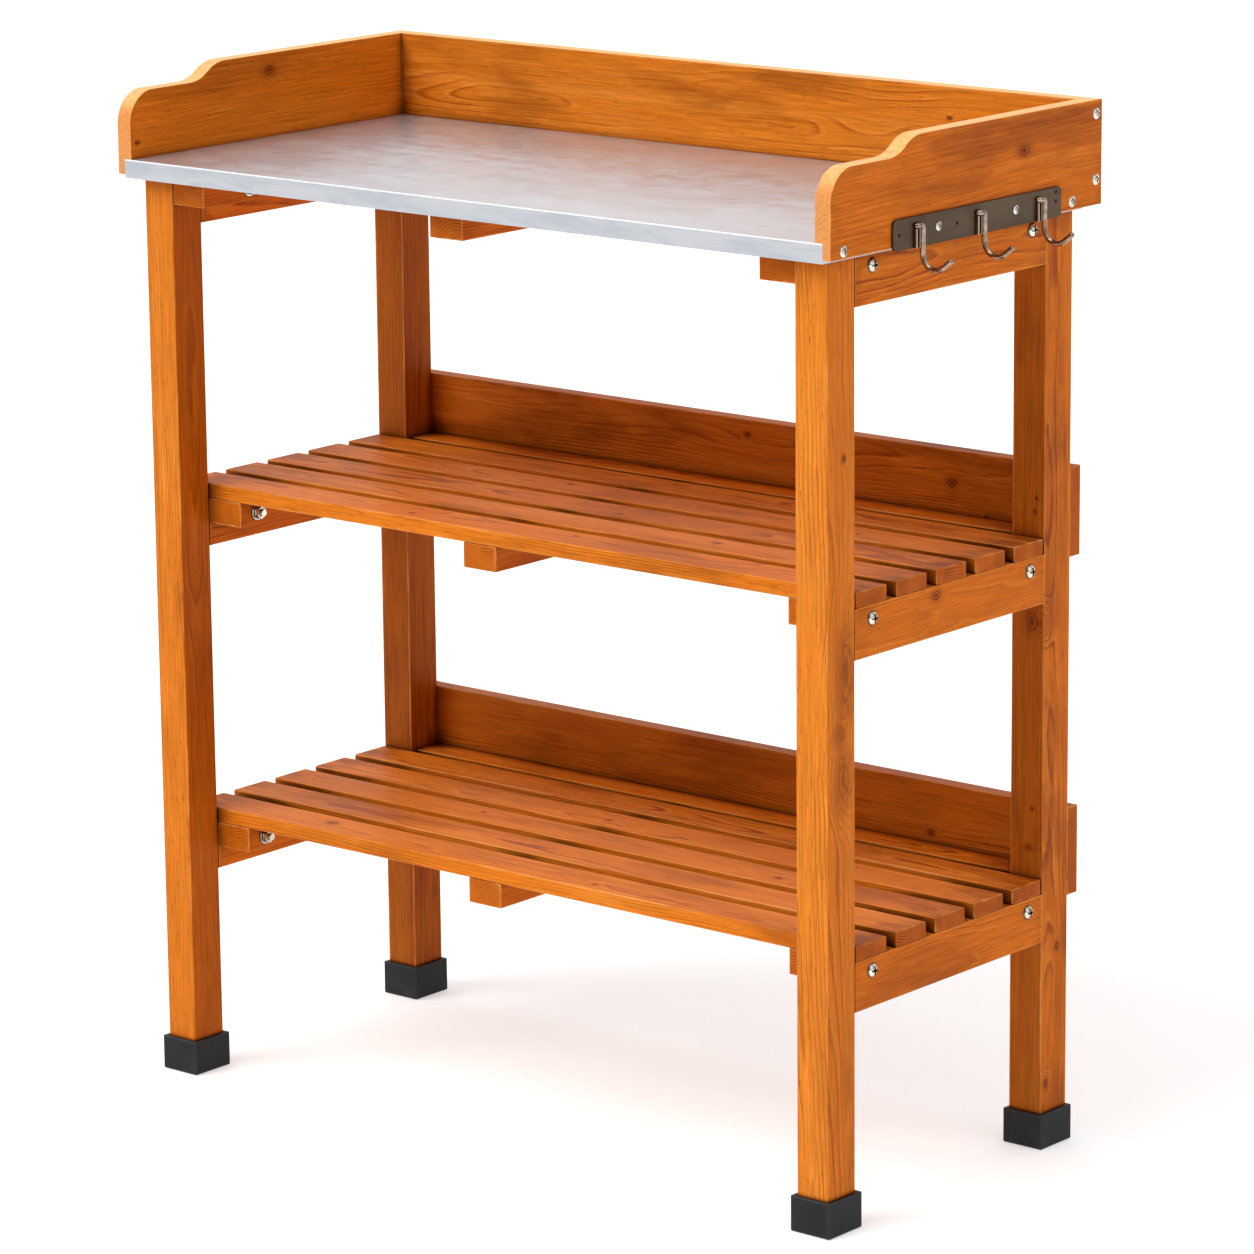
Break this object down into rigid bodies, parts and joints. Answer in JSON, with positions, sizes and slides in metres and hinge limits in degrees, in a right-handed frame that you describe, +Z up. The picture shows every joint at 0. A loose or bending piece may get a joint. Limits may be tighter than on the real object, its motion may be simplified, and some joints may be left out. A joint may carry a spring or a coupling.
{
  "type": "potting bench",
  "caption": "Wooden potting bench with a galvanised work top, curved splash guard, slatted shelves and a side rail of wire hooks.",
  "frame": {"origin": "centre of the bounding box's footprint, on the floor", "axes": "+X to the right seen from the front, +Y to the back, +Z up"},
  "size_m": [0.8494, 0.381, 0.935],
  "materials": {
    "stained_wood": "honey-brown stained softwood, satin",
    "galvanised": "galvanised sheet, soft sheen",
    "foot_cap": "black rubber, satin",
    "rail_plate": "dark bronze coating, satin",
    "hook_wire": "polished bronze-toned wire",
    "fastener": "bright zinc plating"
  },
  "bodies": {
    "root": {"leg_front_left": "stained_wood", "leg_front_right": "stained_wood", "leg_back_left": "stained_wood", "leg_back_right": "stained_wood", "cap_front_left": "foot_cap", "cap_front_right": "foot_cap", "cap_back_left": "foot_cap", "cap_back_right": "foot_cap", "rail_top_left": "stained_wood", "rail_top_right": "stained_wood", "rail_mid_left": "stained_wood", "rail_mid_right": "stained_wood", "rail_low_left": "stained_wood", "rail_low_right": "stained_wood", "batten_top_left": "stained_wood", "batten_top_centre": "stained_wood", "batten_top_right": "stained_wood", "batten_mid_left": "stained_wood", "batten_mid_centre": "stained_wood", "batten_mid_right": "stained_wood", "batten_low_left": "stained_wood", "batten_low_centre": "stained_wood", "batten_low_right": "stained_wood", "slat_mid_1": "stained_wood", "slat_mid_2": "stained_wood", "slat_mid_3": "stained_wood", "slat_mid_4": "stained_wood", "slat_mid_5": "stained_wood", "slat_mid_6": "stained_wood", "slat_low_1": "stained_wood", "slat_low_2": "stained_wood", "slat_low_3": "stained_wood", "slat_low_4": "stained_wood", "slat_low_5": "stained_wood", "slat_low_6": "stained_wood", "back_board_mid": "stained_wood", "back_board_low": "stained_wood", "top_panel": "stained_wood", "top_sheet": "galvanised", "guard_left": "stained_wood", "guard_right": "stained_wood", "guard_back": "stained_wood", "hook_rail": "rail_plate", "hook_front": "hook_wire", "hook_centre": "hook_wire", "hook_rear": "hook_wire", "frame_bolts_left": "fastener", "frame_bolts_right": "fastener", "frame_nuts": "fastener", "frame_washers": "fastener", "guard_screws_left": "fastener", "guard_screws_right": "fastener", "hook_rail_screws": "fastener", "shelf_board_screws": "fastener"}
  },
  "joints": []
}
